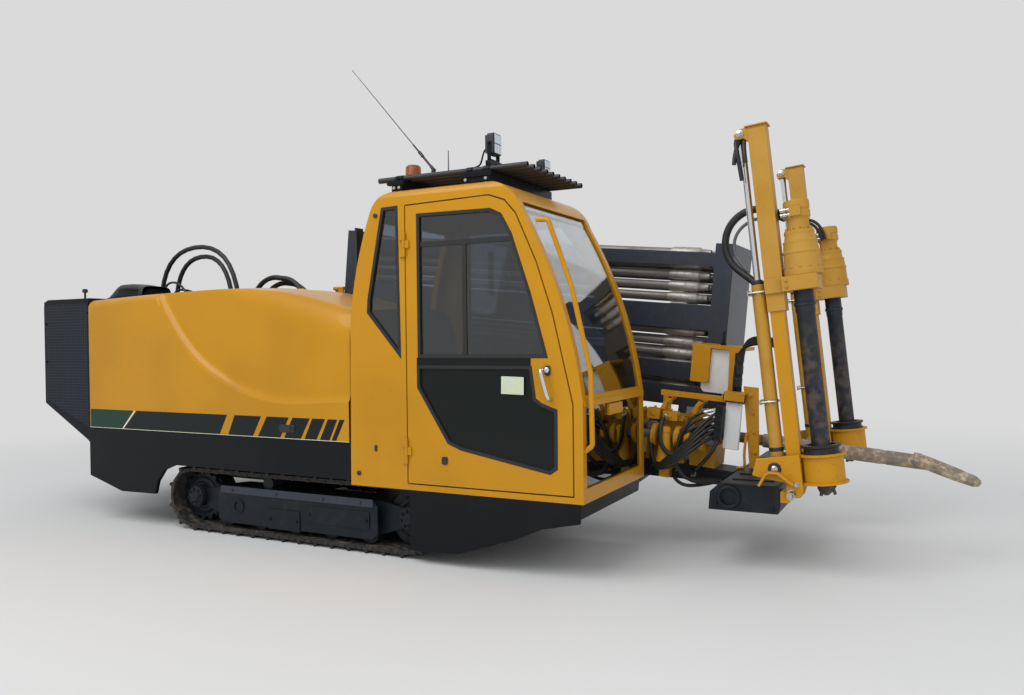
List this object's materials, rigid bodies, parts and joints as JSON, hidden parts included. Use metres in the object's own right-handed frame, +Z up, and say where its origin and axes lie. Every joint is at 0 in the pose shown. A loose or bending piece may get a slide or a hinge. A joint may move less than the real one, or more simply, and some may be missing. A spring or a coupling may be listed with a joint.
{
  "type": "horizontal directional drill",
  "caption": "Tracked horizontal directional drill with an enclosed cab, a tilting drill rack with a rod magazine, a travelling carriage and stake-down anchors.",
  "frame": {"origin": "on the ground under the middle of the length and width", "axes": "+X forward to the drilling end, +Y to the machine's left, +Z up"},
  "size_m": [6.5388, 2.286, 3.2182],
  "materials": {
    "yellow": "gloss",
    "black": "gloss",
    "track": "worn",
    "steel": "worn",
    "chrome": "polished",
    "rubber": "matt",
    "glass": "tinted",
    "trim": "matt",
    "grey": "satin",
    "amber": "gloss",
    "core": "matt",
    "rods": "worn"
  },
  "bodies": {
    "chassis": {"main_frame": "black", "track_near": "track", "track_far": "track", "track_frame_near": "black", "track_frame_far": "black", "lower_body": "black", "rear_cover": "yellow", "engine_block": "core", "hood_far_panel": "yellow", "cooler_box": "black", "rear_grille": "black", "cooler_core": "core", "cab_shell": "yellow", "cab_glass": "glass", "cab_skirt": "black", "seat": "trim", "consoles": "trim", "roof_rack": "black", "lamps": "black", "beacon": "amber", "aerials": "rubber", "grab_rail": "yellow", "frame_nose": "black", "tilt_mount": "black", "rear_hoses": "rubber"},
    "hood_lid": {"hood": "yellow"},
    "door": {"cab_door": "yellow", "door_glass": "glass"},
    "rack": {"rack_frame": "black", "rod_box": "black", "drill_rods": "rods", "vise_group": "yellow", "bracket": "yellow", "guard_box": "grey", "anchor_bases": "yellow", "drum_ring_near": "rubber", "drum_ring_far": "rubber", "anchor_drum_near": "yellow", "anchor_drum_far": "yellow", "anchor_barrels": "yellow"},
    "thrust_carriage": {"carriage": "yellow", "carriage_hoses": "rubber"},
    "string": {"drill_string": "rods", "drill_head": "steel"},
    "near_slider": {"anchor_slider_near": "yellow", "anchor_rod_near": "chrome", "auger_motor_near": "yellow"},
    "near_auger": {"auger_near": "rods"},
    "far_slider": {"anchor_slider_far": "yellow", "anchor_rod_far": "chrome", "auger_motor_far": "yellow"},
    "far_auger": {"auger_far": "rods"},
    "tilt_cylinder": {"tilt_barrel": "black"},
    "tilt_piston": {"tilt_rod": "chrome"}
  },
  "joints": [
    {"name": "rack_tilt", "type": "hinge", "parent": "chassis", "child": "rack", "pos_m": [0.6, 0.2, 0.5], "axis": [0, 1, 0], "range_deg": [0, 11]},
    {"name": "tilt_cylinder_swing", "type": "hinge", "parent": "chassis", "child": "tilt_cylinder", "pos_m": [-0.8, 0, 0.42], "axis": [0, 1, 0], "range_deg": [-1, 28.75]},
    {"name": "tilt_rod_slide", "type": "slide", "parent": "tilt_cylinder", "child": "tilt_piston", "axis": [-0.9317, 0, 0.3633], "range_m": [-0.005, 0.1789]},
    {"name": "carriage_travel", "type": "slide", "parent": "rack", "child": "thrust_carriage", "axis": [0.9954, 0, -0.0958], "range_m": [0, 2.9]},
    {"name": "drill_spin", "type": "hinge", "parent": "thrust_carriage", "child": "string", "pos_m": [0.62981, 0.2, 0.80957], "axis": [0.9954, 0, -0.0958], "continuous": true},
    {"name": "hood_lift", "type": "hinge", "parent": "chassis", "child": "hood_lid", "pos_m": [-1.5, -0.118, 1.748], "axis": [-1, 0, 0], "range_deg": [0, 55]},
    {"name": "cab_door_swing", "type": "hinge", "parent": "chassis", "child": "door", "pos_m": [0.212, -1.132, 1.3], "axis": [0, 0, -1], "range_deg": [0, 95]},
    {"name": "near_anchor_slide", "type": "slide", "parent": "rack", "child": "near_slider", "axis": [0.1011, 0, -0.9949], "range_m": [0, 0.74]},
    {"name": "near_auger_spin", "type": "hinge", "parent": "near_slider", "child": "near_auger", "pos_m": [2.45684, -0.47, 1.10261], "axis": [-0.1011, 0, 0.9949], "continuous": true},
    {"name": "far_anchor_slide", "type": "slide", "parent": "rack", "child": "far_slider", "axis": [0.1011, 0, -0.9949], "range_m": [0, 0.74]},
    {"name": "far_auger_spin", "type": "hinge", "parent": "far_slider", "child": "far_auger", "pos_m": [2.45684, 0.87, 1.10261], "axis": [-0.1011, 0, 0.9949], "continuous": true}
  ],
  "couplings": [
    {"joint": "tilt_cylinder_swing", "follows": "rack_tilt", "ratio": 2.5227},
    {"joint": "tilt_rod_slide", "follows": "rack_tilt", "m_per_rad": 0.88}
  ]
}
